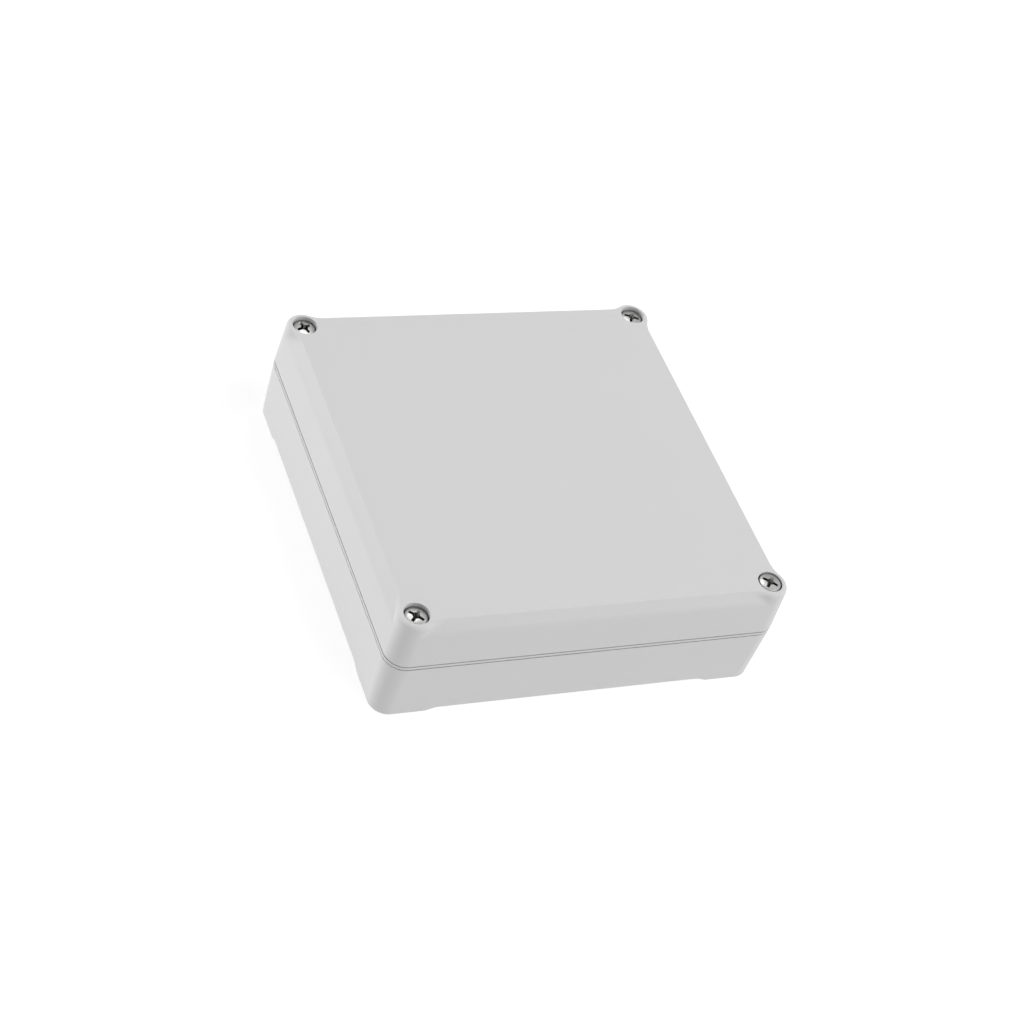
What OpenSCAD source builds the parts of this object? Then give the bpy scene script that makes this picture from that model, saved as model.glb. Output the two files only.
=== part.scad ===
// Low plastic electronics enclosure: a moulded base, a bevelled lid held by four corner screws,
// and a gasket pressed between a tongue on the base's rim and a groove in the lid's.
// Millimetres, +Z up, the origin at the middle of the underside, the front towards -Y.

/* [Case] */
// Width over the walls at the seam, left to right
case_w = 120; // [110:1:160]
// Depth over the walls at the seam, front to back
case_d = 122; // [110:1:160]
// Height of the base, from the feet to the seam
base_h = 19.8; // [18:0.2:40]
// Height of the lid, from the seam to its top
lid_h = 16.8; // [14:0.2:24]
// Radius of the corner columns at the seam, around each lid screw
corner_r = 6; // [5.8:0.05:6.6]
// How far the lid's walls lean in, from the seam to the top
lid_draft = 0.75; // [0.3:0.05:1]
// How far the base's walls lean in, from the seam to the feet
base_draft = 0.5; // [0.2:0.05:0.9]
// Thickness of the side walls at the seam
wall = 3.2; // [3:0.1:4]
// Thickness of the base's floor
floor_t = 2.8; // [2:0.1:4]
// Thickness of the lid's top
roof_t = 3; // [2.8:0.1:4]

/* [Lid bevel] */
// From a line through the screw axes out to the bevel's upper edge
bevel_margin = 2.75; // [2.4:0.05:3.6]
// Height of the bevel between the corner columns
bevel_h = 3.5; // [2.5:0.1:4.2]
// Rounding between the bevel and the wall below it
bevel_blend = 2.4; // [1:0.1:3]
// Rounding of the bevel's upper edge
bevel_crest = 0.5; // [0.2:0.1:0.8]
// Rounding of the columns' top edge
column_round = 1; // [0.4:0.1:1.6]

/* [Seam] */
// Height of the lid's edge band, with the slot under it and the slot over it
seam_h = 1.55; // [1:0.05:2]
// Height of each of those slots
slot_h = 0.35; // [0.2:0.05:0.4]
// Depth of the slots
slot_depth = 0.5; // [0.3:0.1:0.6]
// Lid material between the slots and the sealing tongue
tongue_lip = 0.9; // [0.7:0.1:1]
// Thickness of the sealing tongue
tongue_t = 1; // [0.8:0.1:1.1]
// Height of the sealing tongue above the seam
tongue_h = 2; // [1.6:0.1:3]
// Clearance on each side of the tongue in the lid's groove
tongue_clear = 0.15; // [0.1:0.05:0.2]
// Height of the pressed gasket above the tongue
gasket_h = 1.2; // [0.8:0.1:2]

/* [Feet] */
// How far the underside is raised between the corner feet
foot_h = 1.35; // [0.8:0.05:2]
// Foot face left around each wall-fixing hole
foot_land = 0.5; // [0.3:0.05:2]
// Length of the curved rise from a foot to the underside
foot_rise = 5; // [3:0.5:10]

/* [Wall fixing] */
// Hole for a wall screw, in the floor of each corner pocket
mount_d = 4.3; // [3.5:0.1:5]
// Head of that screw, which the pocket clears
mount_head_d = 7; // [6:0.1:7.4]
// From the lid screw's axis to the hole, in X and in Y
mount_shift = 6; // [5.8:0.1:7]
// Thickness of the pocket's floor
pocket_floor = 4; // [3:0.1:6]

/* [Lid screws] */
// Diameter of a screw's head
head_d = 6.8; // [6.4:0.1:7]
// Height of a screw's head, with its crown
head_h = 2.3; // [2:0.1:3]
// Height of the head's straight edge
head_edge = 1.8; // [0.8:0.1:1.9]
// Diameter of a screw's shank
shank_d = 4; // [3.5:0.1:4.2]
// Clearance between a head and its counterbore, on the diameter
head_clear = 0.55; // [0.3:0.05:0.6]
// Clearance between a shank and the lid's hole, on the diameter
shank_clear = 0.5; // [0.3:0.05:0.8]
// Depth of the seat under a head, below the lid's top
seat_depth = 3.1; // [3.1:0.1:6]
// How far the front right screw is backed out
loose_rise = 0.8; // [0:0.1:0.8]
// Width of each arm of the cross recess
cross_w = 1.05; // [0.8:0.05:1.3]
// Span of the cross recess
cross_span = 4.7; // [3.4:0.1:4.8]
// Depth of the cross recess
cross_depth = 1.7; // [1:0.1:2]

/* [Threaded inserts] */
// Outside diameter of an insert
insert_d = 5.6; // [5.2:0.1:6]
// Length of an insert, down from the seam
insert_len = 8; // [6:0.5:10]
// Clearance between a screw's thread and the insert's, on the diameter
thread_clear = 0.1; // [0.05:0.05:0.2]
// Depth of the groove around an insert
insert_groove = 0.3; // [0.2:0.05:0.4]
// Plastic left around an insert and around a counterbore
boss_wall = 1.9; // [1.5:0.1:2.2]
// Free depth under a screw's tip
tip_clear = 2; // [1:0.5:3]

/* [Circuit board posts] */
// Spacing of the posts, left to right
post_span_x = 88; // [60:1:90]
// Spacing of the posts, front to back
post_span_y = 70; // [40:1:72]
// Diameter of a post
post_d = 6; // [5:0.5:8]
// Height of a post above the floor
post_h = 5; // [4:0.5:8]
// Pilot hole in a post
pilot_d = 2.5; // [2:0.1:3]
// Depth of the pilot hole
pilot_depth = 4; // [2.5:0.5:4]

/* [Hidden] */
$fn = 64;
// Overrun of a cut past the face that it opens
over = 1;
case_h = base_h + lid_h;
// Half of the screw spacing, across and along
screw_x = case_w / 2 - corner_r;
screw_y = case_d / 2 - corner_r;
corners = [[-1, -1], [1, -1], [1, 1], [-1, 1]];
front_right = [1, -1];
// Turn of the cross recess of each screw, in the order of the corners
cross_turns = [45, 47, 62, 21];
// The lid's outer walls start above the edge band
lid_z = base_h + seam_h;
floor_z = foot_h + floor_t;
// The seal runs round the corner pockets, outside which the screws stay
tongue_inset = slot_depth + tongue_lip;
groove_h = tongue_h + gasket_h;
mount_x = screw_x - mount_shift;
mount_y = screw_y - mount_shift;
pocket_r = norm([mount_shift, mount_shift]) + mount_head_d / 2;
counterbore_d = head_d + head_clear;
lid_boss_r = counterbore_d / 2 + boss_wall;
base_boss_r = insert_d / 2 + boss_wall;
// The shank reaches the lower end of the insert
seat_z = case_h - seat_depth;
tip_z = base_h - insert_len;
foot_reach = mount_shift + mount_d / 2 + foot_land;
// Steps of a curved rise, of a rounded profile corner and of a rounded edge
rise_steps = 8;
ease_steps = 6;
round_step = 15;

shell_grey = "#d6d6d6";
gasket_black = "#2e2f31";
steel = "#c4c6c8";
brass = "#b9954a";

// Distance of the lid's and the base's wall from the screw axis, at a height
function lid_r(z) = corner_r - lid_draft * (z - lid_z) / (case_h - lid_z);
function base_r(z) = corner_r - base_draft * (base_h - z) / base_h;

function unit(v) = v / norm(v);

// Rounds the corner of a profile between the lines that arrive at it and leave it
function eased(before, at, after, r) =
    let (u = unit(before - at), v = unit(after - at), half = acos(u * v) / 2, sweep = 180 - 2 * half)
    let (centre = at + unit(u + v) * r / sin(half))
    let (first = at + u * r / tan(half) - centre, last = at + v * r / tan(half) - centre)
    [for (i = [0:ease_steps])
        let (turn = sweep * i / ease_steps)
            centre + (first * sin(sweep - turn) + last * sin(turn)) / sin(sweep)];

// Places its children at the four screw axes
module at_corners() {
    for (c = corners)
        translate([c[0] * screw_x, c[1] * screw_y, 0])
            children();
}

// A profile of half width [x, z], mirrored and run along Y, and the same run along X:
// its x counts from the screw axes
module walls(profile) {
    across = [for (p = profile) [screw_x + p[0], p[1]]];
    along = [for (p = profile) [screw_y + p[0], p[1]]];
    rotate([90, 0, 0])
        linear_extrude(2 * screw_y, center = true)
            both_sides(across);
    rotate([90, 0, 90])
        linear_extrude(2 * screw_x, center = true)
            both_sides(along);
}

// Closes a profile that climbs the right-hand side with its mirror image
module both_sides(profile) {
    last = len(profile) - 1;
    polygon(concat(profile, [for (i = [last:-1:0]) [-profile[i][0], profile[i][1]]]));
}

// Plan of the wall at the seam, inset, with its rounded corners
module rim_plan(inset) {
    square([2 * screw_x, 2 * (screw_y + corner_r - inset)], center = true);
    square([2 * (screw_x + corner_r - inset), 2 * screw_y], center = true);
    at_corners()
        circle(corner_r - inset);
}

// Plan of the sealed room, inset from the outer wall and from the corner pockets
module seal_plan(inset) {
    difference() {
        square([case_w - 2 * inset, case_d - 2 * inset], center = true);
        at_corners()
            circle(pocket_r + inset);
    }
}

// Plan of the ring between two insets of the sealed room
module seal_ring(outer, inner) {
    difference() {
        seal_plan(outer);
        seal_plan(inner);
    }
}

// Plan of the corner pockets, between the seal and the screw bosses
module pockets_plan(boss_r) {
    difference() {
        intersection() {
            square([case_w - 2 * wall, case_d - 2 * wall], center = true);
            at_corners()
                circle(pocket_r);
        }
        at_corners()
            circle(boss_r);
    }
}

// Raised underside between the feet: a flat with curved ends, as a section half width [x, z]
function rise_profile(half) = concat(
    [[half, -over]],
    [for (i = [0:rise_steps])
        [half - foot_rise * i / rise_steps, foot_h * (1 - cos(180 * i / rise_steps)) / 2]]
);

module underside_relief() {
    rotate([90, 0, 0])
        linear_extrude(case_d + 2 * over, center = true)
            both_sides(rise_profile(screw_x - foot_reach));
    rotate([90, 0, 90])
        linear_extrude(case_w + 2 * over, center = true)
            both_sides(rise_profile(screw_y - foot_reach));
}

module board_posts(d, z, h) {
    for (x = [-1, 1], y = [-1, 1])
        translate([x * post_span_x / 2, y * post_span_y / 2, z])
            cylinder(h = h, d = d);
}

module base_block() {
    walls([[base_r(0), 0], [base_r(base_h), base_h]]);
    at_corners()
        cylinder(h = base_h, r1 = base_r(0), r2 = base_r(base_h));
}

module base() {
    color(shell_grey)
    difference() {
        union() {
            difference() {
                base_block();
                underside_relief();
                translate([0, 0, floor_z])
                    linear_extrude(base_h)
                        seal_plan(wall);
                translate([0, 0, pocket_floor])
                    linear_extrude(base_h)
                        pockets_plan(base_boss_r);
            }
            translate([0, 0, base_h - over])
                linear_extrude(tongue_h + over)
                    seal_ring(tongue_inset, tongue_inset + tongue_t);
            board_posts(post_d, floor_z - over, post_h + over);
        }
        board_posts(pilot_d, floor_z + post_h - pilot_depth, pilot_depth + over);
        at_corners() {
            translate([0, 0, tip_z])
                cylinder(h = insert_len + over, d = insert_d);
            translate([0, 0, tip_z - tip_clear])
                cylinder(h = tip_clear + over, d = shank_d + shank_clear);
        }
        for (c = corners)
            translate([c[0] * mount_x, c[1] * mount_y, -over])
                cylinder(h = pocket_floor + 2 * over, d = mount_d);
    }
}

// Half section of a corner column, with its rounded top edge
function column_profile() = concat(
    [[0, lid_z], [lid_r(lid_z), lid_z]],
    [for (a = [0:round_step:90])
        [lid_r(case_h - column_round) - column_round * (1 - cos(a)),
         case_h - column_round * (1 - sin(a))]],
    [[0, case_h]]
);

// Half section of the walls between the columns, with the bevel's rounded edges
function wall_profile() =
    let (lower = [lid_r(lid_z), lid_z], upper = [bevel_margin, case_h])
    let (shoulder = [lid_r(case_h - bevel_h), case_h - bevel_h])
    concat(
        [lower],
        eased(lower, shoulder, upper, bevel_blend),
        eased(shoulder, upper, [0, case_h], bevel_crest)
    );

module lid_block() {
    walls(wall_profile());
    at_corners()
        rotate_extrude()
            polygon(column_profile());
    translate([0, 0, base_h])
        linear_extrude(seam_h + over)
            rim_plan(slot_depth);
    translate([0, 0, base_h + slot_h])
        linear_extrude(seam_h - 2 * slot_h)
            rim_plan(0);
}

module lid() {
    color(shell_grey)
    difference() {
        lid_block();
        translate([0, 0, base_h - over])
            linear_extrude(lid_h - roof_t + over) {
                seal_plan(wall);
                pockets_plan(lid_boss_r);
            }
        translate([0, 0, base_h - over])
            linear_extrude(groove_h + over)
                seal_ring(tongue_inset - tongue_clear, tongue_inset + tongue_t + tongue_clear);
        at_corners() {
            translate([0, 0, base_h - over])
                cylinder(h = lid_h + 2 * over, d = shank_d + shank_clear);
            translate([0, 0, seat_z])
                cylinder(h = seat_depth + over, d = counterbore_d);
        }
    }
}

module gasket() {
    color(gasket_black)
    translate([0, 0, base_h + tongue_h])
        linear_extrude(gasket_h)
            seal_ring(tongue_inset - tongue_clear, tongue_inset + tongue_t + tongue_clear);
}

// Half section of a screw from its tip, with a crowned head on the seat at z 0
function screw_profile() = concat(
    [[0, tip_z - seat_z], [shank_d / 2, tip_z - seat_z], [shank_d / 2, 0], [head_d / 2, 0]],
    [for (a = [0:round_step:90])
        [head_d / 2 * cos(a), head_edge + (head_h - head_edge) * sin(a)]]
);

module lid_screw(turn) {
    difference() {
        rotate_extrude()
            polygon(screw_profile());
        for (a = [0, 90])
            rotate(turn + a)
                translate([-cross_span / 2, -cross_w / 2, head_h - cross_depth])
                    cube([cross_span, cross_w, cross_depth + over]);
    }
}

module lid_screws() {
    color(steel)
    for (i = [0:len(corners) - 1]) {
        c = corners[i];
        rise = c == front_right ? loose_rise : 0;
        translate([c[0] * screw_x, c[1] * screw_y, seat_z + rise])
            lid_screw(cross_turns[i]);
    }
}

// Half section of an insert, with a groove around its middle that the plastic holds
function insert_profile() = [
    [(shank_d + thread_clear) / 2, 0],
    [insert_d / 2, 0],
    [insert_d / 2, insert_len / 3],
    [insert_d / 2 - insert_groove, insert_len / 3],
    [insert_d / 2 - insert_groove, insert_len * 2 / 3],
    [insert_d / 2, insert_len * 2 / 3],
    [insert_d / 2, insert_len],
    [(shank_d + thread_clear) / 2, insert_len]
];

module threaded_inserts() {
    color(brass)
    at_corners()
        translate([0, 0, tip_z])
            rotate_extrude()
                polygon(insert_profile());
}

base();
lid();
gasket();
lid_screws();
threaded_inserts();
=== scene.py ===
"""Looks of a low plastic electronics enclosure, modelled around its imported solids.

The lid, the base, the lid screws and the threaded inserts are modelled again with the roundings,
recesses and threads that moulded and turned pieces have. Sizes are in millimetres, meshes in metres.
"""

import logging
import math
from dataclasses import dataclass
from enum import Enum
from typing import Callable, Mapping, Sequence

import bpy
import numpy as np
from mathutils import Euler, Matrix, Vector


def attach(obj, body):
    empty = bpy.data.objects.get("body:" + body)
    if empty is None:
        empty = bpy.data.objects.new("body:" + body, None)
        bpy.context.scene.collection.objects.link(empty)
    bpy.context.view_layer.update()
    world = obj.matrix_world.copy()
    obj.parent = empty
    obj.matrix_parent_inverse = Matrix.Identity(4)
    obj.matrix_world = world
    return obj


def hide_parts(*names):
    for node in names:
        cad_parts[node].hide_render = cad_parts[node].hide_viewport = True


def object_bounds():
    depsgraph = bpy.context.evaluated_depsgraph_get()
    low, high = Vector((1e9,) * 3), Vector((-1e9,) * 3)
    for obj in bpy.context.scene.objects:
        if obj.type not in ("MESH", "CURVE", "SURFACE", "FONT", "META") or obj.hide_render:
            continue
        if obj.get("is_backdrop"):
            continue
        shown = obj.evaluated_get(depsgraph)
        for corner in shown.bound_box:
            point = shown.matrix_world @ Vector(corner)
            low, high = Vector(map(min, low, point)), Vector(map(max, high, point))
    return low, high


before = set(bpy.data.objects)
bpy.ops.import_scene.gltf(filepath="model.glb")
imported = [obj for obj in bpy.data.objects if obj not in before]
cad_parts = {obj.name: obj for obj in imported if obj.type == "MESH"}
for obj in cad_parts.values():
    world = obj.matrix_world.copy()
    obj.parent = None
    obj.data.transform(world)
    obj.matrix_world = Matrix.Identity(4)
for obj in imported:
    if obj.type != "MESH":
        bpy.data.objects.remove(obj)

MM = 0.001
NEAR = 0.01  # places closer than this, in millimetres, count as one
DOUBLES = 1e-7  # vertices closer than this, in metres, are merged
DIGITS = 5  # heights are told apart to this many digits
ROOT = "root"
# name of the vertex value that paints shade into the colours of slots and recesses
SHADE_ATTRIBUTE = "painted_shade"
WHITE = "#ffffff"
log = logging.getLogger("enclosure")

Point = tuple[float, float]
Spot = tuple[float, float, float]
Rounding = tuple[float, int]  # radius and facets
Inputs = Mapping[object, object]
Piece = bpy.types.Object
Material = bpy.types.Material
Tree = bpy.types.NodeTree
Node = bpy.types.Node
Socket = bpy.types.NodeSocket


class Corner(Enum):
    """The four corners, counter-clockwise seen from above, as signs of X and Y."""

    FRONT_LEFT = (-1, -1)
    FRONT_RIGHT = (1, -1)
    BACK_RIGHT = (1, 1)
    BACK_LEFT = (-1, 1)

    @property
    def turn(self) -> float:
        """Angle from the front right corner to this one, about +Z, in radians."""
        return (list(Corner).index(self) - 1) * math.pi / 2


class Cut(Enum):
    """What a boolean does with its second piece."""

    AWAY = "DIFFERENCE"
    ON = "UNION"


# Modelling


def deselect() -> None:
    """Deselects every object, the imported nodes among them."""
    bpy.ops.object.select_all(action="DESELECT")


def choose(piece: Piece) -> None:
    """Makes a piece the one that operators act on.

    Args:
        piece: The piece.
    """
    deselect()
    piece.select_set(True)
    bpy.context.view_layer.objects.active = piece


def wrap_grid(name: str, rings: Sequence[Sequence[Spot]]) -> Piece:
    """Wraps a grid around closed rings that lie one behind the other.

    Args:
        name: Name of the new piece.
        rings: Rings of equally many points, in millimetres.

    Returns:
        The piece, closed at its ends and with its faces turned outwards.
    """
    deselect()
    bpy.ops.mesh.primitive_grid_add(x_subdivisions=len(rings[0]), y_subdivisions=len(rings) - 1, size=1)
    piece = bpy.context.active_object
    piece.name = piece.data.name = name
    points = np.array([[*ring, ring[0]] for ring in rings], float) * MM
    piece.data.vertices.foreach_set("co", points.ravel())
    piece.data.update()
    bpy.ops.object.mode_set(mode="EDIT")
    bpy.ops.mesh.select_mode(type="VERT")
    bpy.ops.mesh.select_all(action="SELECT")
    bpy.ops.mesh.remove_doubles(threshold=DOUBLES)
    bpy.ops.mesh.select_all(action="DESELECT")
    bpy.ops.mesh.select_non_manifold(extend=False)
    bpy.ops.mesh.fill_holes(sides=0)
    bpy.ops.mesh.select_all(action="SELECT")
    bpy.ops.mesh.normals_make_consistent(inside=False)
    bpy.ops.object.mode_set(mode="OBJECT")
    return piece


def prism(name: str, plan: Sequence[Point], low: float, high: float) -> Piece:
    """Stands a plan up between two heights.

    Args:
        name: Name of the new piece.
        plan: Outline of the plan, in millimetres.
        low: Height of its underside.
        high: Height of its top.

    Returns:
        The closed piece.
    """
    return wrap_grid(name, [[(x, y, z) for x, y in plan] for z in (low, high)])


def drill(name: str, radius: float, low: float, high: float, at: Point, sides: int = 64) -> Piece:
    """Makes the round plug that cuts a bore.

    Args:
        name: Name of the plug.
        radius: Radius of the bore, in millimetres.
        low: Height of its lower end.
        high: Height of its upper end.
        at: Its axis in plan.
        sides: Facets around it.

    Returns:
        The plug.
    """
    return prism(name, circle(radius, sides, at), low, high)


def circle(radius: float, sides: int, at: Point = (0.0, 0.0)) -> list[Point]:
    """Points around a circle, in millimetres."""
    return arc(at, radius, 0.0, 2 * math.pi, sides)[:-1]


def arc(centre: Point, radius: float, start: float, end: float, steps: int) -> list[Point]:
    """Points along an arc, both ends included."""
    angles = (start + (end - start) * i / steps for i in range(steps + 1))
    return [(centre[0] + radius * math.cos(a), centre[1] + radius * math.sin(a)) for a in angles]


def eased(before: Point, at: Point, after: Point, radius: float, steps: int) -> list[Point]:
    """Rounds the corner of a section.

    Args:
        before: A point on the line that arrives.
        at: The sharp corner.
        after: A point on the line that leaves.
        radius: Radius of the rounding.
        steps: Facets along it.

    Returns:
        The points of the rounding, from one tangent point to the other.
    """
    corner, back, on = np.array(at), np.array(before, float), np.array(after, float)
    u = (back - corner) / np.linalg.norm(back - corner)
    v = (on - corner) / np.linalg.norm(on - corner)
    half = math.acos(float(np.clip(u @ v, -1, 1))) / 2
    centre = corner + (u + v) / np.linalg.norm(u + v) * radius / math.sin(half)
    first = corner + u * radius / math.tan(half) - centre
    last = corner + v * radius / math.tan(half) - centre
    sweep = math.pi - 2 * half
    shares = np.linspace(0, 1, steps + 1)
    return [
        tuple(centre + (first * math.sin((1 - t) * sweep) + last * math.sin(t * sweep)) / math.sin(sweep))
        for t in shares
    ]


def reach_at(section: Sequence[Point], z: float) -> float:
    """Reach at a height of a section whose points, reach and height, go upwards."""
    return float(np.interp(z, [p[1] for p in section], [p[0] for p in section]))


def combine(piece: Piece, cut: Cut, *others: Piece) -> None:
    """Cuts other pieces away from a piece, or joins them on, one after the other.

    Args:
        piece: The piece that stays.
        cut: What is done with the others.
        *others: The pieces that are used up.
    """
    for other in others:
        choose(piece)
        modifier = piece.modifiers.new(cut.name.lower(), "BOOLEAN")
        modifier.operation = cut.value
        modifier.solver = "EXACT"
        modifier.object = other
        bpy.ops.object.modifier_apply(modifier=modifier.name)
        bpy.data.objects.remove(other)


def ease_edges(piece: Piece, test: Callable[[Vector, Vector], bool], width: float, segments: int) -> None:
    """Rounds the edges that a test picks by their two ends, in millimetres.

    Args:
        piece: The piece.
        test: Says of an edge's two ends whether the edge is rounded.
        width: Width of the rounding.
        segments: Facets across it.
    """
    choose(piece)
    mesh = piece.data
    points = [v.co / MM for v in mesh.vertices]
    for group in (mesh.vertices, mesh.edges, mesh.polygons):
        group.foreach_set("select", [False] * len(group))
    picked = [e for e in mesh.edges if test(points[e.vertices[0]], points[e.vertices[1]])]
    for edge in picked:
        edge.select = True
        for i in edge.vertices:
            mesh.vertices[i].select = True
    bpy.context.tool_settings.mesh_select_mode = (False, True, False)
    bpy.ops.object.mode_set(mode="EDIT")
    bpy.ops.mesh.bevel(offset=width * MM, segments=segments, affect="EDGES", clamp_overlap=True)
    bpy.ops.object.mode_set(mode="OBJECT")
    log.info("%s: %d edges rounded", piece.name, len(picked))


def shade(piece: Piece, degrees: float = 32.0) -> None:
    """Shades the curved faces smooth and keeps the flat ones flat.

    Args:
        piece: The piece.
        degrees: Edges sharper than this stay sharp.
    """
    choose(piece)
    bpy.ops.object.shade_smooth_by_angle(angle=math.radians(degrees))
    modifier = piece.modifiers.new("flat_faces", "WEIGHTED_NORMAL")
    modifier.keep_sharp = True
    bpy.ops.object.modifier_apply(modifier=modifier.name)


def mark_painted_shade(piece: Piece, depth: Callable[[Vector], float]) -> None:
    """Writes a value from 0 to 1 at every vertex, which the materials read as painted shade: how far the
    colour is darkened where a recess or slot lies in shade.

    Args:
        piece: The piece.
        depth: Gives the painted shade for a vertex from its place, in millimetres. What lies outside 0 to 1
            is cut off.
    """
    values = [min(max(depth(v.co / MM), 0.0), 1.0) for v in piece.data.vertices]
    piece.data.attributes.new(SHADE_ATTRIBUTE, "FLOAT", "POINT").data.foreach_set("value", values)


def copy_to(piece: Piece, name: str, turn: float, at: Spot) -> Piece:
    """Copies a piece with a mesh of its own, turned about +Z and moved in the mesh.

    Args:
        piece: The piece that is copied.
        name: Name of the copy.
        turn: Turn in radians.
        at: Where its origin goes, in millimetres.

    Returns:
        The copy.
    """
    twin = piece.copy()
    twin.data = piece.data.copy()
    twin.name = twin.data.name = name
    bpy.context.scene.collection.objects.link(twin)
    choose(twin)
    twin.rotation_euler = (0, 0, turn)
    twin.location = Vector(at) * MM
    bpy.ops.object.transform_apply(location=True, rotation=True, scale=True)
    return twin


def settle(piece: Piece, material: Material, stands_for: str) -> None:
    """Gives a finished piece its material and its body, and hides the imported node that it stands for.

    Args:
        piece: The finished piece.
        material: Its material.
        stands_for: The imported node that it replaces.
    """
    piece.data.materials.clear()
    piece.data.materials.append(material)
    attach(piece, ROOT)
    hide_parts(stands_for)
    log.info("%s: %d faces, %s", piece.name, len(piece.data.polygons), material.name)


# Finishes


def linear(colour: str) -> tuple[float, ...]:
    """Turns an sRGB hex value into linear red, green, blue and alpha."""
    parts = [int(colour[i : i + 2], 16) / 255 for i in (1, 3, 5)]
    return (*(p / 12.92 if p <= 0.04045 else ((p + 0.055) / 1.055) ** 2.4 for p in parts), 1.0)


def per_mm(size: float) -> float:
    """Scale of a texture whose grain has this size in millimetres."""
    return 1 / (size * MM)


def add_node(tree: Tree, kind: str, inputs: Inputs | None = None, **settings: object) -> Node:
    """Adds a node with its settings and links.

    Args:
        tree: The node tree.
        kind: The node's type.
        inputs: What goes into its inputs, by name or number: values, hex colours, output sockets,
            or nodes, of which the first output in use is linked.
        **settings: Attributes of the node.

    Returns:
        The new node.
    """
    node = tree.nodes.new(kind)
    for key, value in settings.items():
        setattr(node, key, value)
    for key, value in (inputs or {}).items():
        if isinstance(value, Node):
            value = next(output for output in value.outputs if output.enabled)
        if isinstance(value, Socket):
            tree.links.new(value, node.inputs[key])
        else:
            node.inputs[key].default_value = linear(value) if isinstance(value, str) else value
    return node


def empty_tree(owner: Material | bpy.types.World) -> Tree:
    """Turns on nodes and empties their tree.

    Args:
        owner: The material or the world that gets them.

    Returns:
        The tree.
    """
    owner.use_nodes = True
    owner.node_tree.nodes.clear()
    return owner.node_tree


def start_material(name: str) -> tuple[Material, Tree, Socket]:
    """Starts a material.

    Args:
        name: Its name.

    Returns:
        The material, its node tree and the Object coordinates.
    """
    material = bpy.data.materials.new(name)
    tree = empty_tree(material)
    return material, tree, add_node(tree, "ShaderNodeTexCoord").outputs["Object"]


def paint_shade(tree: Tree, colour: Node, dark: str) -> Node:
    """Paints shade into a colour: darkens it towards a dark colour by the painted-shade value at the
    vertices.
    """
    depth = add_node(tree, "ShaderNodeAttribute", attribute_name=SHADE_ATTRIBUTE).outputs["Fac"]
    return add_node(tree, "ShaderNodeMix", {"Factor": depth, "A": colour, "B": dark}, data_type="RGBA")


def end_material(tree: Tree, inputs: Inputs) -> None:
    """Ends a material with its surface shader, which gets these inputs, and its output."""
    surface = add_node(tree, "ShaderNodeBsdfPrincipled", inputs)
    add_node(tree, "ShaderNodeOutputMaterial", {"Surface": surface})


@dataclass(frozen=True)
class MouldedABS:
    """Injection-moulded ABS from a spark-eroded tool.

    It gives the eye an even, satin grey with a fine grain, with painted shade down in the seam's slots.
    """

    name: str = "moulded_abs_grey"
    colour: str = "#d7d7d7"
    flow_colour: str = "#d4d4d4"
    # painted shade: the colour that the seam's slots darken towards
    seam_shade_colour: str = "#505050"
    roughness: Point = (0.56, 0.68)
    ior: float = 1.53
    grain: float = 0.35  # real grain is nearer 0.1 mm, drawn coarser so that it shows
    grain_height: float = 0.008
    grain_strength: float = 0.35
    grain_detail: float = 3.0
    flow: float = 38.0
    flow_detail: float = 2.0

    def material(self) -> Material:
        """Builds the material.

        Returns:
            The material.
        """
        material, tree, where = start_material(self.name)
        flowing = {"Vector": where, "Scale": per_mm(self.flow), "Detail": self.flow_detail}
        flow = add_node(tree, "ShaderNodeTexNoise", flowing)
        tones = {"Factor": flow, "A": self.colour, "B": self.flow_colour}
        colour = add_node(tree, "ShaderNodeMix", tones, data_type="RGBA")
        # painted shade in the seam's slots, by the value at the vertices
        shaded_colour = paint_shade(tree, colour, self.seam_shade_colour)
        grainy = {"Vector": where, "Scale": per_mm(self.grain), "Detail": self.grain_detail}
        grain = add_node(tree, "ShaderNodeTexNoise", grainy)
        low, high = self.roughness
        gloss = add_node(tree, "ShaderNodeMapRange", {"Value": grain, "To Min": low, "To Max": high})
        raised = {"Height": grain, "Strength": self.grain_strength, "Distance": self.grain_height * MM}
        bump = add_node(tree, "ShaderNodeBump", raised)
        end_material(tree, {"Base Color": shaded_colour, "Roughness": gloss, "Normal": bump, "IOR": self.ior})
        return material


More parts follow.
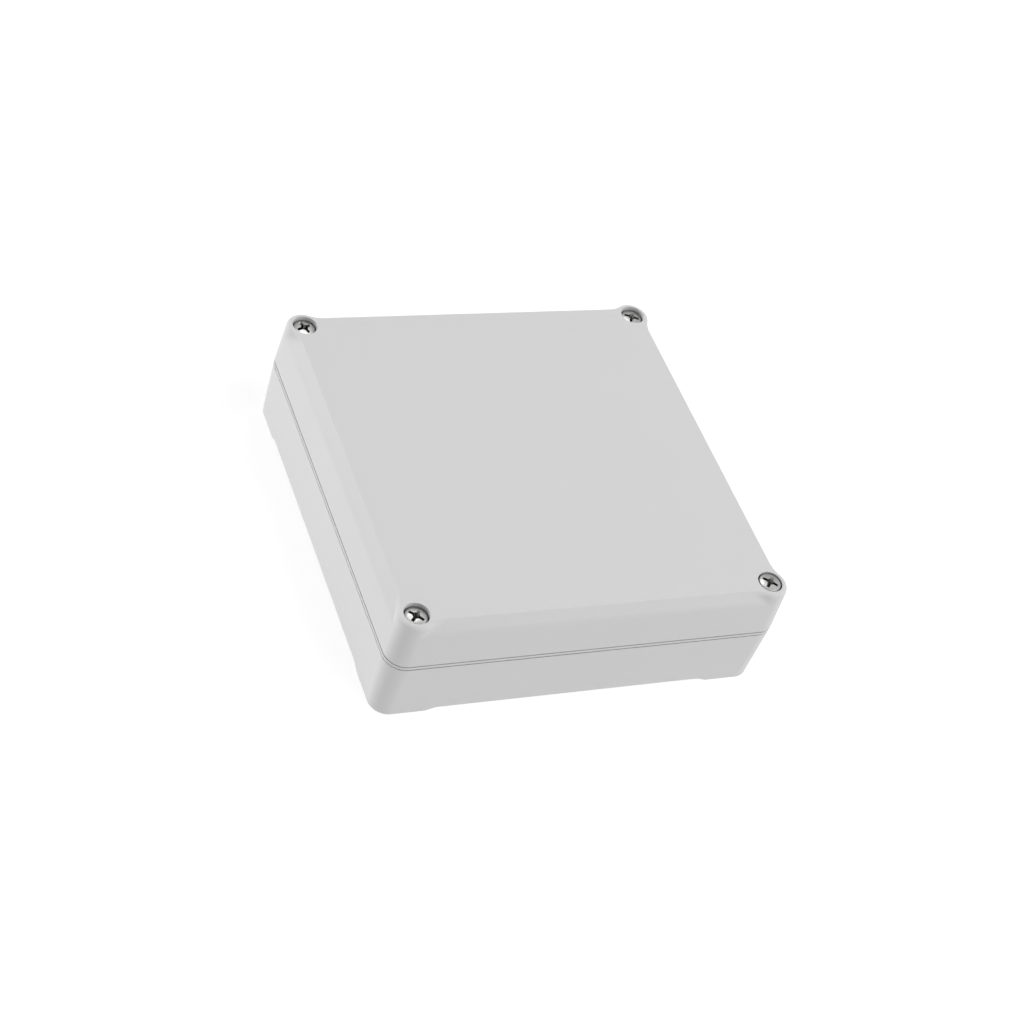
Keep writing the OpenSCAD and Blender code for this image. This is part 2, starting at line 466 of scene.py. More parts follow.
@dataclass(frozen=True)
class PlatedSteel:
    """Zinc-plated steel.

    It gives the eye a grey with a bright shine and faint turning rings, with painted shade in the cross
    recesses and around the head's rim.
    """

    name: str = "plated_steel"
    colour: str = "#a9aaa9"
    worn_colour: str = "#838482"
    # painted shade: the colour that the cross recesses and the head's rim darken towards
    recess_shade_colour: str = "#1b1b1b"
    roughness: Point = (0.16, 0.38)
    ring: float = 0.16
    ring_height: float = 0.006
    ring_strength: float = 0.25
    ring_detail: float = 1.0
    blotch: float = 1.6
    blotch_detail: float = 4.0

    def material(self, axes: Point) -> Material:
        """Builds the material.

        Args:
            axes: Distance of the screw axes from the middle, across and along, in millimetres.

        Returns:
            The material.
        """
        material, tree, where = start_material(self.name)
        centre, flat = (axes[0] * MM, axes[1] * MM, 0.0), (1.0, 1.0, 0.0)
        steps = (("ABSOLUTE", {}), ("SUBTRACT", {1: centre}), ("MULTIPLY", {1: flat}), ("LENGTH", {}))
        reach = where  # becomes the distance from the nearest screw axis
        for operation, term in steps:
            reach = add_node(tree, "ShaderNodeVectorMath", {0: reach, **term}, operation=operation)
        turning = {"W": reach, "Scale": per_mm(self.ring), "Detail": self.ring_detail}
        rings = add_node(tree, "ShaderNodeTexNoise", turning, noise_dimensions="1D")
        raised = {"Height": rings, "Strength": self.ring_strength, "Distance": self.ring_height * MM}
        bump = add_node(tree, "ShaderNodeBump", raised)
        blotched = {"Vector": where, "Scale": per_mm(self.blotch), "Detail": self.blotch_detail}
        blotch = add_node(tree, "ShaderNodeTexNoise", blotched)
        tones = {"Factor": blotch, "A": self.colour, "B": self.worn_colour}
        colour = add_node(tree, "ShaderNodeMix", tones, data_type="RGBA")
        shaded_colour = paint_shade(tree, colour, self.recess_shade_colour)
        low, high = self.roughness
        gloss = add_node(tree, "ShaderNodeMapRange", {"Value": blotch, "To Min": low, "To Max": high})
        end_material(tree, {"Base Color": shaded_colour, "Roughness": gloss, "Normal": bump, "Metallic": 1.0})
        return material


@dataclass(frozen=True)
class TurnedBrass:
    """Turned and knurled brass, which gives the eye a warm tone with fine turning lines around its axis."""

    name: str = "turned_brass"
    colour: str = "#c9a55a"
    dull_colour: str = "#a8874a"
    roughness: Point = (0.22, 0.45)
    blotch: float = 1.2
    blotch_detail: float = 5.0
    stretch: Spot = (0.15, 0.15, 1.0)

    def material(self) -> Material:
        """Builds the material.

        Returns:
            The material.
        """
        material, tree, where = start_material(self.name)
        stretched = add_node(tree, "ShaderNodeMapping", {"Vector": where, "Scale": self.stretch})
        turning = {"Vector": stretched, "Scale": per_mm(self.blotch), "Detail": self.blotch_detail}
        lines = add_node(tree, "ShaderNodeTexNoise", turning)
        tones = {"Factor": lines, "A": self.colour, "B": self.dull_colour}
        colour = add_node(tree, "ShaderNodeMix", tones, data_type="RGBA")
        low, high = self.roughness
        gloss = add_node(tree, "ShaderNodeMapRange", {"Value": lines, "To Min": low, "To Max": high})
        end_material(tree, {"Base Color": colour, "Roughness": gloss, "Metallic": 1.0})
        return material


@dataclass(frozen=True)
class FoamRubber:
    """Extruded foam rubber, which gives the eye a matt near-black with small closed cells."""

    name: str = "foam_rubber"
    colour: str = "#2b2c2e"
    cell_colour: str = "#3b3c3e"
    roughness: float = 0.85
    cell: float = 0.4
    cell_height: float = 0.05
    cell_strength: float = 0.5

    def material(self) -> Material:
        """Builds the material.

        Returns:
            The material.
        """
        material, tree, where = start_material(self.name)
        packed = {"Vector": where, "Scale": per_mm(self.cell)}
        cells = add_node(tree, "ShaderNodeTexVoronoi", packed)
        tones = {"Factor": cells, "A": self.colour, "B": self.cell_colour}
        colour = add_node(tree, "ShaderNodeMix", tones, data_type="RGBA")
        raised = {"Height": cells, "Strength": self.cell_strength, "Distance": self.cell_height * MM}
        bump = add_node(tree, "ShaderNodeBump", raised)
        end_material(tree, {"Base Color": colour, "Roughness": self.roughness, "Normal": bump})
        return material


# The enclosure


@dataclass(frozen=True)
class Plan:
    """Sizes that the lid, the base, the screws and the inserts share, in millimetres.

    The shades say how much painted shade the seam's slots get, from 0 to 1, at the sides and at the front
    and back.
    """

    screw_x: float = 54.0
    screw_y: float = 55.0
    corner_r: float = 6.0
    base_h: float = 19.8
    case_h: float = 36.6
    wall: float = 3.2
    seam_h: float = 1.55
    slot_h: float = 0.35
    slot_depth: float = 0.5
    slot_fade: float = 0.07
    under_shade: Point = (0.1, 0.45)
    over_shade: Point = (0.72, 0.35)
    corner_light: float = 1.5
    tongue_inset: float = 1.4
    tongue_t: float = 1.0
    tongue_h: float = 2.0
    tongue_clear: float = 0.15
    gasket_h: float = 1.2
    pocket_r: float = 11.985
    shank_r: float = 2.0
    shank_hole_r: float = 2.25
    insert_r: float = 2.8
    insert_len: float = 8.0
    seat_depth: float = 3.1
    counterbore_r: float = 3.675
    over: float = 1.0
    column_steps: int = 30
    scoop_steps: int = 24

    def axis(self, corner: Corner) -> Point:
        """A corner's screw axis in plan."""
        return corner.value[0] * self.screw_x, corner.value[1] * self.screw_y

    def past_axes(self, spot: Vector) -> Point:
        """How far a spot lies outside the rectangle of the screw axes, across and along."""
        return max(abs(spot.x) - self.screw_x, 0.0), max(abs(spot.y) - self.screw_y, 0.0)

    def slot_shade_share(self, spot: Vector, shade_of: Point) -> float:
        """How much painted shade a spot in one of the seam's slots gets, 0 at the outside.

        The painted shade is paler around the corners, where light reaches the slots better.

        Args:
            spot: The spot, in millimetres.
            shade_of: How much painted shade the slot gets at the sides and at the front and back.

        Returns:
            The share of painted shade.
        """
        across, along = self.past_axes(spot)
        reach = math.hypot(across, along)
        depth = self.corner_r - reach
        if depth > self.slot_depth + NEAR:
            return 0.0
        side, front = shade_of
        lit = max(1 - self.corner_light * across * along / reach**2, 0.0)
        return min(depth / self.slot_fade, 1.0) * lit * (front + (side - front) * across / reach)

    def at_corner(self, local: Sequence[Point], corner: Corner) -> list[Point]:
        """Turns and moves points to a corner.

        Args:
            local: The points around the screw axis of the front right corner.
            corner: The corner.

        Returns:
            The points in plan.
        """
        c, s = math.cos(corner.turn), math.sin(corner.turn)
        turned = np.array(local) @ np.array([[c, s], [-s, c]]) + np.array(self.axis(corner))
        return [tuple(p) for p in turned]

    def outer(self, reach: float, column: float, fillet: float = 1.0, fillet_steps: int = 1) -> list[Point]:
        """One level of the outside: straight sides between corner columns, with fillets where they meet.

        Where the columns don't stand out from the sides, the fillets shrink to points.

        Args:
            reach: Distance of the sides from the screw axes.
            column: Radius of the columns around those axes, no less than the reach.
            fillet: Radius of the fillets.
            fillet_steps: Facets along a fillet.

        Returns:
            The outline, counter-clockwise from the front left corner.
        """
        along = math.sqrt(max((column + fillet) ** 2 - (reach + fillet) ** 2, 0.0))
        lean = math.atan2(reach + fillet, along)
        arriving = arc((-along, -reach - fillet), fillet, math.pi / 2, lean, fillet_steps)
        around = arc((0, 0), column, math.pi + lean, 2.5 * math.pi - lean, self.column_steps)
        leaving = arc((reach + fillet, along), fillet, 1.5 * math.pi - lean, math.pi, fillet_steps)
        local = arriving + around[1:-1] + leaving
        return [p for corner in Corner for p in self.at_corner(local, corner)]

    def sealed(self, inset: float) -> list[Point]:
        """Plan of the sealed room, inset from the outer wall and from the corner pockets.

        Args:
            inset: Distance from the outer wall and from the pockets.

        Returns:
            The outline, counter-clockwise.
        """
        scoop = self.pocket_r + inset
        dip = math.asin((self.corner_r - inset) / scoop)
        local = arc((0, 0), scoop, math.pi + dip, math.pi / 2 - dip, self.scoop_steps)
        return [p for corner in Corner for p in self.at_corner(local, corner)]

    def pocket(self, corner: Corner, boss: float) -> list[Point]:
        """Plan of a corner pocket, between the seal and the screw's boss.

        Args:
            corner: The corner.
            boss: Radius of the boss.

        Returns:
            The outline.
        """
        side = self.corner_r - self.wall
        far, near = math.asin(side / self.pocket_r), math.asin(side / boss)
        outside = arc((0, 0), self.pocket_r, math.pi + far, math.pi / 2 - far, self.scoop_steps)
        inside = arc((0, 0), boss, math.pi / 2 - near, math.pi + near, self.scoop_steps)
        return self.at_corner(outside + inside, corner)

    def ring(self, name: str, outer: float, inner: float, low: float, high: float) -> Piece:
        """Makes the ring between two insets of the sealed room.

        Args:
            name: Name of the piece.
            outer: Inset of its outer face.
            inner: Inset of its inner face.
            low: Height of its underside.
            high: Height of its top.

        Returns:
            The ring.
        """
        ring = prism(name, self.sealed(outer), low, high)
        combine(ring, Cut.AWAY, prism("ring_core", self.sealed(inner), low - self.over, high + self.over))
        return ring


@dataclass
class Lid:
    """The moulded lid: bevelled sides between four corner columns, counterbores and a sealing groove."""

    plan: Plan
    draft: float = 0.75
    roof: float = 3.0
    boss_r: float = 5.575
    bevel_margin: float = 2.75
    bevel_h: float = 3.5
    bevel_blend: Rounding = (4.5, 10)
    crest: Rounding = (0.5, 6)
    column_round: Rounding = (1.45, 12)
    fillet: Rounding = (10.0, 6)
    seam_edge: Rounding = (0.06, 3)
    lip_edge: Rounding = (0.06, 4)
    bore_edge: Rounding = (0.1, 3)
    wall_levels: int = 6

    @property
    def low(self) -> float:
        """Height at which the outer walls start, above the seam's band."""
        return self.plan.base_h + self.plan.seam_h

    def wall_reach(self, z: float) -> float:
        """Distance of the drafted wall from the screw axes at a height."""
        return self.plan.corner_r - self.draft * (z - self.low) / (self.plan.case_h - self.low)

    def seam(self) -> list[Point]:
        """Section of the seam: a slot, the band and a slot.

        Returns:
            Reach and height of its points, upwards.
        """
        plan = self.plan
        inner, dark, band = plan.corner_r - plan.slot_depth, plan.corner_r - plan.slot_fade, plan.corner_r
        under, over = plan.base_h + plan.slot_h, self.low - plan.slot_h
        return [
            (inner, plan.base_h),
            (inner, under),
            (dark, under),
            *eased((inner, under), (band, under), (band, over), *self.seam_edge),
            *eased((band, under), (band, over), (inner, over), *self.seam_edge),
            (dark, over),
            (inner, over),
            (inner, self.low),
            (dark, self.low),
        ]

    def levels(self) -> list[Spot]:
        """Levels of the outside from the seam to the top.

        Returns:
            The height, the reach of the sides and the radius of the columns at each level.
        """
        top = self.plan.case_h
        foot, head, middle = (self.wall_reach(self.low), self.low), (self.wall_reach(top), top), (0.0, top)
        shoulder = (self.wall_reach(top - self.bevel_h), top - self.bevel_h)
        crest = (self.bevel_margin, top)
        side = [
            foot,
            *eased(foot, shoulder, crest, *self.bevel_blend),
            *eased(shoulder, crest, middle, *self.crest),
        ]
        column = [foot, *eased(foot, head, middle, *self.column_round)]
        wall = np.linspace(self.low, shoulder[1], self.wall_levels)
        heights = sorted({round(z, DIGITS) for z in (*(p[1] for p in side + column), *wall)})
        lip = eased((0.0, self.low), foot, head, *self.lip_edge)
        rows = [(z, reach, reach) for reach, z in self.seam() + lip]
        for z in heights:
            if z > lip[-1][1] + NEAR:
                reach = reach_at(side, z)
                rows.append((z, reach, max(reach_at(column, z), reach)))
        return rows

    def build(self) -> Piece:
        """Models the lid.

        Returns:
            The lid.
        """
        plan = self.plan
        rings = []
        for z, reach, radius in self.levels():
            rings.append([(x, y, z) for x, y in plan.outer(reach, radius, *self.fillet)])
        lid = wrap_grid("lid_moulding", rings)
        under, ceiling, top = plan.base_h - plan.over, plan.case_h - self.roof, plan.case_h + plan.over
        near = plan.tongue_inset - plan.tongue_clear
        far = plan.tongue_inset + plan.tongue_t + plan.tongue_clear
        groove_top = plan.base_h + (plan.tongue_h + plan.gasket_h)
        room = prism("room", plan.sealed(plan.wall), under, ceiling)
        combine(lid, Cut.AWAY, room, plan.ring("groove", near, far, under, groove_top))
        seat = plan.case_h - plan.seat_depth
        for corner in Corner:
            axis = plan.axis(corner)
            pocket = prism("pocket", plan.pocket(corner, self.boss_r), under, ceiling)
            shank_hole = drill("shank_hole", plan.shank_hole_r, under, top, axis)
            counterbore = drill("counterbore", plan.counterbore_r, seat, top, axis)
            combine(lid, Cut.AWAY, pocket, shank_hole, counterbore)
        ease_edges(lid, self.is_bore_rim, *self.bore_edge)
        # paints shade into the seam's slots
        mark_painted_shade(lid, self.seam_shade_share)
        shade(lid)
        return lid

    def seam_shade_share(self, spot: Vector) -> float:
        """How much painted shade a spot in the seam's slots gets.

        Args:
            spot: The spot, in millimetres.

        Returns:
            The share of painted shade, 0 outside the slots.
        """
        plan = self.plan
        if not plan.base_h - NEAR < spot.z < self.low + NEAR:
            return 0.0
        lower = spot.z < plan.base_h + plan.seam_h / 2
        return plan.slot_shade_share(spot, plan.under_shade if lower else plan.over_shade)

    def is_bore_rim(self, a: Vector, b: Vector) -> bool:
        """Says whether an edge runs around the mouth of a counterbore.

        Args:
            a: One end of the edge, in millimetres.
            b: Its other end.

        Returns:
            Whether it does.
        """
        plan = self.plan
        for p in (a, b):
            reach = math.hypot(abs(p.x) - plan.screw_x, abs(p.y) - plan.screw_y)
            if abs(p.z - plan.case_h) > NEAR or abs(reach - plan.counterbore_r) > NEAR:
                return False
        return True


@dataclass
class Base:
    """The moulded base: drafted walls, corner feet, bosses, pockets, a sealing tongue and board posts."""

    plan: Plan
    draft: float = 0.5
    floor: float = 2.8
    wall_levels: Sequence[float] = (3.0, 6.5, 10.0, 13.5, 17.0)
    foot_h: float = 1.35
    foot_reach: float = 8.65
    foot_rise: float = 5.0
    rise_steps: int = 16
    pocket_floor: float = 4.0
    tip_clear: float = 2.0
    mount_r: float = 2.15
    mount_shift: float = 6.0
    boss_r: float = 4.7
    post_span: Point = (88.0, 70.0)
    post_r: float = 3.0
    post_h: float = 5.0
    pilot_r: float = 1.25
    pilot_depth: float = 4.0
    foot_edge: Rounding = (0.3, 6)
    rim_edge: Rounding = (0.06, 4)
    rise_edge: Rounding = (0.3, 3)
    wall_margin: float = 5.0  # an edge further out than this from the screw axes belongs to a wall
    least_edge: float = 0.2  # a shorter or steeper edge isn't rounded

    @property
    def floor_z(self) -> float:
        """Height of the inside's floor."""
        return self.foot_h + self.floor

    def wall_reach(self, z: float) -> float:
        """Distance of the drafted wall from the screw axes at a height."""
        return self.plan.corner_r - self.draft * (self.plan.base_h - z) / self.plan.base_h

    def levels(self) -> list[Point]:
        """Levels of the outside from the feet to the seam.

        Returns:
            Height and reach of each level.
        """
        plan = self.plan
        foot, rim = (self.wall_reach(0), 0.0), (plan.corner_r, plan.base_h)
        section = [
            *eased((0.0, 0.0), foot, rim, *self.foot_edge),
            *((self.wall_reach(z), z) for z in self.wall_levels),
            *eased(foot, rim, (0.0, plan.base_h), *self.rim_edge),
            (plan.corner_r - plan.slot_fade, plan.base_h),
        ]
        return [(z, reach) for reach, z in section]

    def rise(self, half: float) -> list[Point]:
        """Section of the raised underside, closed below the feet.

        Args:
            half: Half its width at the feet.

        Returns:
            Place across and height of its points.
        """
        turns = [math.pi * i / self.rise_steps for i in range(self.rise_steps + 1)]
        climb = [(half - self.foot_rise * t / math.pi, self.foot_h * (1 - math.cos(t)) / 2) for t in turns]
        right = [(half, -self.plan.over), *climb]
        return right + [(-x, z) for x, z in reversed(right)]

    def build(self) -> Piece:
        """Models the base.

        Returns:
            The base.
        """
        plan, over, top = self.plan, self.plan.over, self.plan.base_h + self.plan.over
        rings = [[(x, y, z) for x, y in plan.outer(reach, reach)] for z, reach in self.levels()]
        base = wrap_grid("base_moulding", rings)
        deep, wide = plan.screw_y + plan.corner_r + over, plan.screw_x + plan.corner_r + over
        across = [[(x, y, z) for x, z in self.rise(plan.screw_x - self.foot_reach)] for y in (-deep, deep)]
        along = [[(x, y, z) for y, z in self.rise(plan.screw_y - self.foot_reach)] for x in (-wide, wide)]
        combine(base, Cut.AWAY, wrap_grid("rise_across", across), wrap_grid("rise_along", along))
        ease_edges(base, self.is_raised_edge, *self.rise_edge)
        combine(base, Cut.AWAY, prism("room", plan.sealed(plan.wall), self.floor_z, top))
        for corner in Corner:
            pocket = prism("pocket", plan.pocket(corner, self.boss_r), self.pocket_floor, top)
            combine(base, Cut.AWAY, pocket)
        near, far = plan.tongue_inset, plan.tongue_inset + plan.tongue_t
        tongue = plan.ring("tongue", near, far, plan.base_h - over, plan.base_h + plan.tongue_h)
        combine(base, Cut.ON, tongue)
        for corner in Corner:
            self.fit_corner(base, corner)
        # paints shade onto the rim under the seam's lower slot
        mark_painted_shade(base, self.rim_shade_share)
        shade(base)
        return base

    def fit_corner(self, base: Piece, corner: Corner) -> None:
        """Adds a corner's board post and cuts its bores.

        Args:
            base: The base.
            corner: The corner.
        """
        plan, over, (sx, sy) = self.plan, self.plan.over, corner.value
        axis, tip, post_top = plan.axis(corner), plan.base_h - plan.insert_len, self.floor_z + self.post_h
        post = (sx * self.post_span[0] / 2, sy * self.post_span[1] / 2)
        mount = (sx * (plan.screw_x - self.mount_shift), sy * (plan.screw_y - self.mount_shift))
        combine(base, Cut.ON, drill("post", self.post_r, self.floor_z - over, post_top, post))
        combine(
            base,
            Cut.AWAY,
            drill("pilot", self.pilot_r, post_top - self.pilot_depth, post_top + over, post),
            drill("insert_seat", plan.insert_r, tip, plan.base_h + over, axis),
            drill("tip_room", plan.shank_hole_r, tip - self.tip_clear, tip + over, axis),
            drill("wall_hole", self.mount_r, -over, self.pocket_floor + over, mount),
        )

    def rim_shade_share(self, spot: Vector) -> float:
        """How much painted shade a spot of the rim under the seam's lower slot gets, 0 elsewhere."""
        plan = self.plan
        return plan.slot_shade_share(spot, plan.under_shade) if abs(spot.z - plan.base_h) < NEAR else 0.0

    def is_raised_edge(self, a: Vector, b: Vector) -> bool:
        """Says whether an edge runs along the foot of a wall, where the underside is raised.

        Args:
            a: One end of the edge, in millimetres.
            b: Its other end.

        Returns:
            Whether it does.
        """
        outside = all(max(self.plan.past_axes(p)) > self.wall_margin for p in (a, b))
        low = max(a.z, b.z) < self.foot_h + NEAR
        raised = max(a.z, b.z) > self.foot_edge[0]
        level = abs(a.z - b.z) < self.least_edge < (a - b).length
        return outside and low and raised and level


@dataclass
class LidScrews:
    """Four cross-recessed screws, the front right one backed out.

    The wings' shares are those of the cross's span and width, at the foot of the recess and above the head.
    """

    plan: Plan
    sides: int = 48
    smooth_below: float = 40.0
    head_r: float = 3.4
    head_h: float = 2.3
    head_edge: float = 1.8
    crown_steps: int = 12
    crown_rim: float = 0.12  # angle left out at the rim, in radians
    crown_pole: float = 0.05  # angle left out in the middle, in radians
    under_edge: Rounding = (0.15, 3)
    rim_drop: float = 0.1
    neck: float = 0.02
    tip_r: float = 0.8
    tip_chamfer: float = 0.25
    pitch: float = 0.7
    pitch_steps: int = 8
    thread_depth: float = 0.35
    thread_len: float = 11.0
    thread_start: float = 0.4
    thread_end: float = 0.3
    loose_rise: float = 0.8
    cross_w: float = 1.05
    cross_span: float = 4.7
    cross_depth: float = 1.7
    cross_over: float = 0.3
    wing_foot: Point = (0.5, 0.5)
    wing_top: Point = (1.16, 0.98)
    core_tip: float = 0.25
    core_radii: Spot = (0.25, 0.6, 1.2)
    core_sides: int = 16
    dark_from: float = 0.12
    dark_fade: float = 0.8
    rim_from: float = 0.9
    rim_fade: float = 0.08
    turns: Sequence[float] = (45.0, 47.0, 62.0, 21.0)  # degrees, in the order of the corners

    @property
    def tip(self) -> float:
        """Height of the tip, which is level with the insert's lower end, over the seat."""
        return self.plan.base_h - self.plan.insert_len - (self.plan.case_h - self.plan.seat_depth)

    def crown(self, share: float) -> float:
        """Height of the domed crown over the seat, by the share of the head's radius."""
        return self.head_edge + (self.head_h - self.head_edge) * math.sqrt(1 - share * share)

    def section(self) -> list[Point]:
        """Half section of the shank and the head.

        Returns:
            Radius and height over the seat of its points, from the tip upwards.
        """
        shank, tip = self.plan.shank_r, self.tip
        threaded = np.arange(tip + self.thread_start, tip + self.thread_len, self.pitch / self.pitch_steps)
        angles = np.linspace(self.crown_rim, math.pi / 2 - self.crown_pole, self.crown_steps)
        rim = (self.head_r, self.head_edge)
        return [
            (self.tip_r, tip),
            (shank - self.thread_depth - self.tip_chamfer, tip),
            *((shank, float(z)) for z in threaded),
            (shank, tip + self.thread_len + self.thread_end),
            (shank, -self.neck),
            (shank + self.neck, 0.0),
            *eased((shank, 0.0), (self.head_r, 0.0), rim, *self.under_edge),
            (self.head_r, self.head_edge - self.rim_drop),
            *((self.head_r * share, self.crown(share)) for share in map(math.cos, angles)),
        ]

    def radius(self, radius: float, z: float, angle: float) -> float:
        """Cuts the thread's helix into the screw's section.

        Args:
            radius: Radius of the section.
            z: Height over the seat.
            angle: Angle around the axis, in radians.

        Returns:
            The radius there.
        """
        top = self.tip + self.thread_len
        if not self.tip < z < top:
            return radius
        phase = (z / self.pitch - angle / (2 * math.pi)) % 1.0
        runout = min(1.0, (top - z) / self.pitch, (z - self.tip) / self.pitch)
        return radius - self.thread_depth * runout * (1 - abs(2 * phase - 1))

    def recess(self) -> Piece:
        """Makes the driver's point that cuts the cross recess: two tapered wings and a flared middle.

        Returns:
            The point, with its tip down.
        """
        low, top = self.head_h - self.cross_depth, self.head_h + self.cross_over
        wings = []
        for turned in (False, True):
            rings = []
            for z, (span, width) in ((low, self.wing_foot), (top, self.wing_top)):
                x, y = self.cross_span / 2 * span, self.cross_w / 2 * width
                plan = [(-x, -y), (x, -y), (x, y), (-x, y)]
                rings.append([(-py, px, z) if turned else (px, py, z) for px, py in plan])
            wings.append(wrap_grid("wing", rings))
        levels = zip((low - self.core_tip, low, top), self.core_radii)
        core = [[(x, y, z) for x, y in circle(r, self.core_sides)] for z, r in levels]
        combine(wings[0], Cut.ON, wings[1], wrap_grid("middle", core))
        return wings[0]

    def painted_shade_share(self, spot: Vector) -> float:
        """How much painted shade a spot of a screw that stands on its seat gets.

        Args:
            spot: The spot, in millimetres.

        Returns:
            0 or less on the bright crown, 1 or more in the cross recess and at the rim, where the shade is
            painted in full.
        """
        if spot.z <= 0:
            return 0.0
        share = min(math.hypot(spot.x, spot.y) / self.head_r, 1.0)
        depth = self.crown(share) - spot.z
        return max((depth - self.dark_from) / self.dark_fade, (share - self.rim_from) / self.rim_fade)

    def build(self) -> list[Piece]:
        """Models one screw and places its four copies.

        Returns:
            The screws.
        """
        angles = [2 * math.pi * i / self.sides for i in range(self.sides)]
        rings = []
        for radius, z in self.section():
            at_angles = [(self.radius(radius, z, a), a) for a in angles]
            rings.append([(r * math.cos(a), r * math.sin(a), z) for r, a in at_angles])
        screw = wrap_grid("screw", rings)
        combine(screw, Cut.AWAY, self.recess())
        # paints shade into the cross recess and around the head's rim
        mark_painted_shade(screw, self.painted_shade_share)
        shade(screw, self.smooth_below)
        screws = []
        for corner, turn in zip(Corner, self.turns):
            rise = self.loose_rise if corner is Corner.FRONT_RIGHT else 0.0
            at = (*self.plan.axis(corner), self.plan.case_h - self.plan.seat_depth + rise)
            screws.append(copy_to(screw, f"screw_{corner.name.lower()}", math.radians(turn), at))
        bpy.data.objects.remove(screw)
        return screws


@dataclass
class ThreadedInserts:
    """Four brass inserts with knurled ends and a groove that the plastic holds."""

    plan: Plan
    bore_r: float = 2.05
    bore_sides: int = 48
    groove: float = 0.3
    knurl: float = 0.18
    knurls: int = 24
    tooth: Sequence[float] = (0.0, 0.5, 1.0, 0.5)  # depths around a tooth, as shares of the knurl
    chamfer: float = 0.25
    smooth_below: float = 25.0

    def build(self) -> list[Piece]:
        """Models one insert and places its four copies.

        Returns:
            The inserts.
        """
        length, radius, over = self.plan.insert_len, self.plan.insert_r, self.plan.over
        third = length / 3
        lower = [
            (radius - self.chamfer, 0.0, False),
            (radius, self.chamfer, True),
            (radius, third, True),
            (radius - self.groove, third, False),
        ]
        upper = [(r, length - z, knurled) for r, z, knurled in reversed(lower)]
        teeth = [self.knurl * share for share in self.tooth] * self.knurls
        rings = []
        for r, z, knurled in lower + upper:
            spots = [(r - d * knurled, 2 * math.pi * i / len(teeth)) for i, d in enumerate(teeth)]
            rings.append([(s * math.cos(a), s * math.sin(a), z) for s, a in spots])
        insert = wrap_grid("insert", rings)
        bore = drill("bore", self.bore_r, -over, length + over, (0.0, 0.0), self.bore_sides)
        combine(insert, Cut.AWAY, bore)
        shade(insert, self.smooth_below)
        inserts = []
        for corner in Corner:
            at = (*self.plan.axis(corner), self.plan.base_h - length)
            inserts.append(copy_to(insert, f"insert_{corner.name.lower()}", 0.0, at))
        bpy.data.objects.remove(insert)
        return inserts


# The studio


@dataclass(frozen=True)
class Softbox:
    """A soft lamp: where it hangs, its size and its power. It points at the enclosure."""

    name: str
    at: Spot
    size: float
    watts: float

    def hang(self, target: Vector) -> None:
        """Adds the lamp.

        Args:
            target: The point that it faces.
        """
        data = bpy.data.lights.new(self.name, "AREA")
        data.shape, data.size, data.energy = "DISK", self.size, self.watts
        lamp = bpy.data.objects.new(self.name, data)
        lamp.location = self.at
        lamp.rotation_euler = (target - lamp.location).to_track_quat("-Z", "Y").to_euler()
        bpy.context.scene.collection.objects.link(lamp)


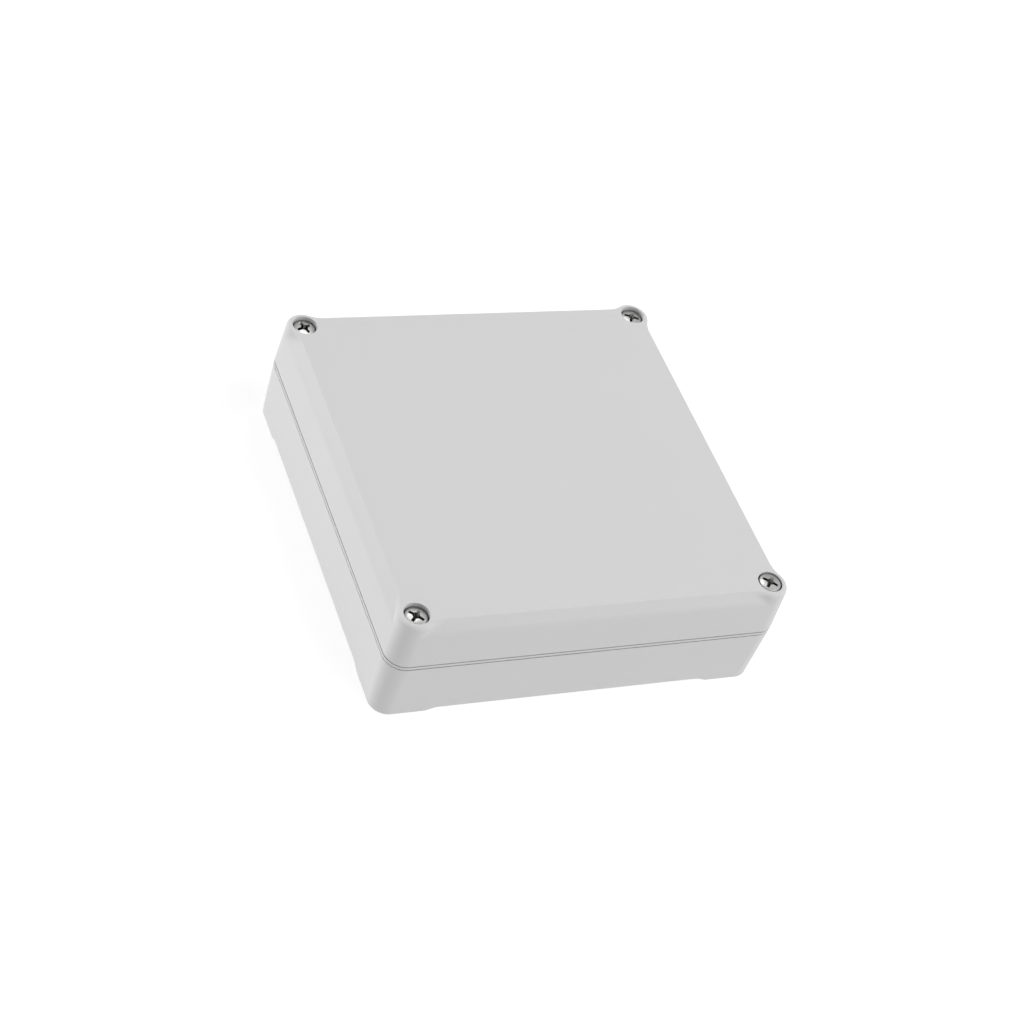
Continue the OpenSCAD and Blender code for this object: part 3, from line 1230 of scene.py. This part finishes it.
@dataclass
class Studio:
    """A white floor and surround, soft lamps and the camera.

    The floor spreads an even glow and some of the lamps' light. The camera and reflections see it
    brighter, white apart from the enclosure's shadow. Lamps and floor are in metres.
    """

    eye: Spot = (-272.14, -389.78, 465.71)
    tilt: Spot = (44.152, -15.5317, -19.571)
    lens: float = 78.302
    sensor: float = 36.0
    clip: Point = (0.01, 20.0)
    ambient: float = 0.05
    floor_r: float = 1.2
    floor_sides: int = 96
    floor_colour: str = "#959595"
    floor_glow: float = 0.68
    shown_colour: str = "#b4b4b4"
    shown_glow: float = 0.68
    lamps: Sequence[Softbox] = (
        Softbox("front_right", (0.9, -0.9, 1.291), 2.0, 24.6),
        Softbox("right", (1.273, 0.0, 1.291), 2.0, 4.3),
        Softbox("left_high", (-0.616, 0.0, 1.709), 2.0, 5.7),
        Softbox("left_low", (-1.739, 0.0, 0.484), 0.9, 4.3),
        Softbox("back_left_low", (-1.229, 1.229, 0.484), 0.9, 16.6),
        Softbox("spark", (0.364, 0.78, 1.247), 0.5, 2.4),
    )

    @staticmethod
    def seen(tree: Tree) -> Node:
        """Adds a value that tells what is shown from light that spreads.

        Args:
            tree: The node tree.

        Returns:
            1 for what the camera, a reflection or a clear piece shows, else 0.
        """
        path = add_node(tree, "ShaderNodeLightPath")
        shown = path.outputs["Is Camera Ray"]
        for ray in ("Is Glossy Ray", "Is Transmission Ray"):
            shown = add_node(tree, "ShaderNodeMath", {0: shown, 1: path.outputs[ray]}, operation="MAXIMUM")
        return shown

    def surround(self) -> None:
        """Makes the world: white to the camera and in reflections, a dimmer light on everything else."""
        world = bpy.data.worlds.new("white_surround")
        bpy.context.scene.world = world
        tree = empty_tree(world)
        dimmed = {"Value": self.seen(tree), "To Min": self.ambient, "To Max": 1.0}
        strength = add_node(tree, "ShaderNodeMapRange", dimmed)
        back = add_node(tree, "ShaderNodeBackground", {"Color": WHITE, "Strength": strength})
        add_node(tree, "ShaderNodeOutputWorld", {"Surface": back})

    def floor(self) -> None:
        """Lays the floor, white to the camera apart from the enclosure's shadow."""
        deselect()
        bpy.ops.mesh.primitive_circle_add(vertices=self.floor_sides, radius=self.floor_r, fill_type="NGON")
        floor = bpy.context.active_object
        floor.name = floor.data.name = "floor"
        material = bpy.data.materials.new("matt_white_paper")
        tree = empty_tree(material)
        layers = []
        for colour, glow in ((self.floor_colour, self.floor_glow), (self.shown_colour, self.shown_glow)):
            lit = add_node(tree, "ShaderNodeBsdfDiffuse", {"Color": colour})
            glowing = add_node(tree, "ShaderNodeEmission", {"Color": WHITE, "Strength": glow})
            layers.append(add_node(tree, "ShaderNodeAddShader", {0: lit, 1: glowing}))
        surface = add_node(tree, "ShaderNodeMixShader", {0: self.seen(tree), 1: layers[0], 2: layers[1]})
        add_node(tree, "ShaderNodeOutputMaterial", {"Surface": surface})
        floor.data.materials.append(material)
        floor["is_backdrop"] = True

    def camera(self) -> None:
        """Sets the camera at the photograph's view."""
        data = bpy.data.cameras.new("camera")
        data.sensor_fit, data.sensor_width, data.lens = "HORIZONTAL", self.sensor, self.lens
        data.clip_start, data.clip_end = self.clip
        camera = bpy.data.objects.new("camera", data)
        camera.location = Vector(self.eye) * MM
        camera.rotation_euler = Euler([math.radians(a) for a in self.tilt])
        bpy.context.scene.collection.objects.link(camera)
        bpy.context.scene.camera = camera

    def build(self, target: Vector) -> None:
        """Sets up the whole studio.

        Args:
            target: The point that the lamps face.
        """
        bpy.context.scene.view_settings.view_transform = "Standard"
        self.surround()
        self.floor()
        self.camera()
        for lamp in self.lamps:
            lamp.hang(target)


def main() -> None:
    """Builds the enclosure's pieces in order, dresses them and sets up the studio."""
    logging.basicConfig(level=logging.INFO, format="%(name)s: %(message)s")
    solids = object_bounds()
    plan = Plan()
    shell = MouldedABS().material()
    settle(Lid(plan).build(), shell, "lid")
    settle(Base(plan).build(), shell, "base")
    steel = PlatedSteel().material((plan.screw_x, plan.screw_y))
    for screw in LidScrews(plan).build():
        settle(screw, steel, "lid_screws")
    brass = TurnedBrass().material()
    for insert in ThreadedInserts(plan).build():
        settle(insert, brass, "threaded_inserts")
    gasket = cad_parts["gasket"]
    gasket.data.materials.clear()
    gasket.data.materials.append(FoamRubber().material())
    log.info("gasket: the packed node, %s", gasket.data.materials[0].name)
    Studio().build((solids[0] + solids[1]) / 2)


if __name__ == "__main__":
    main()
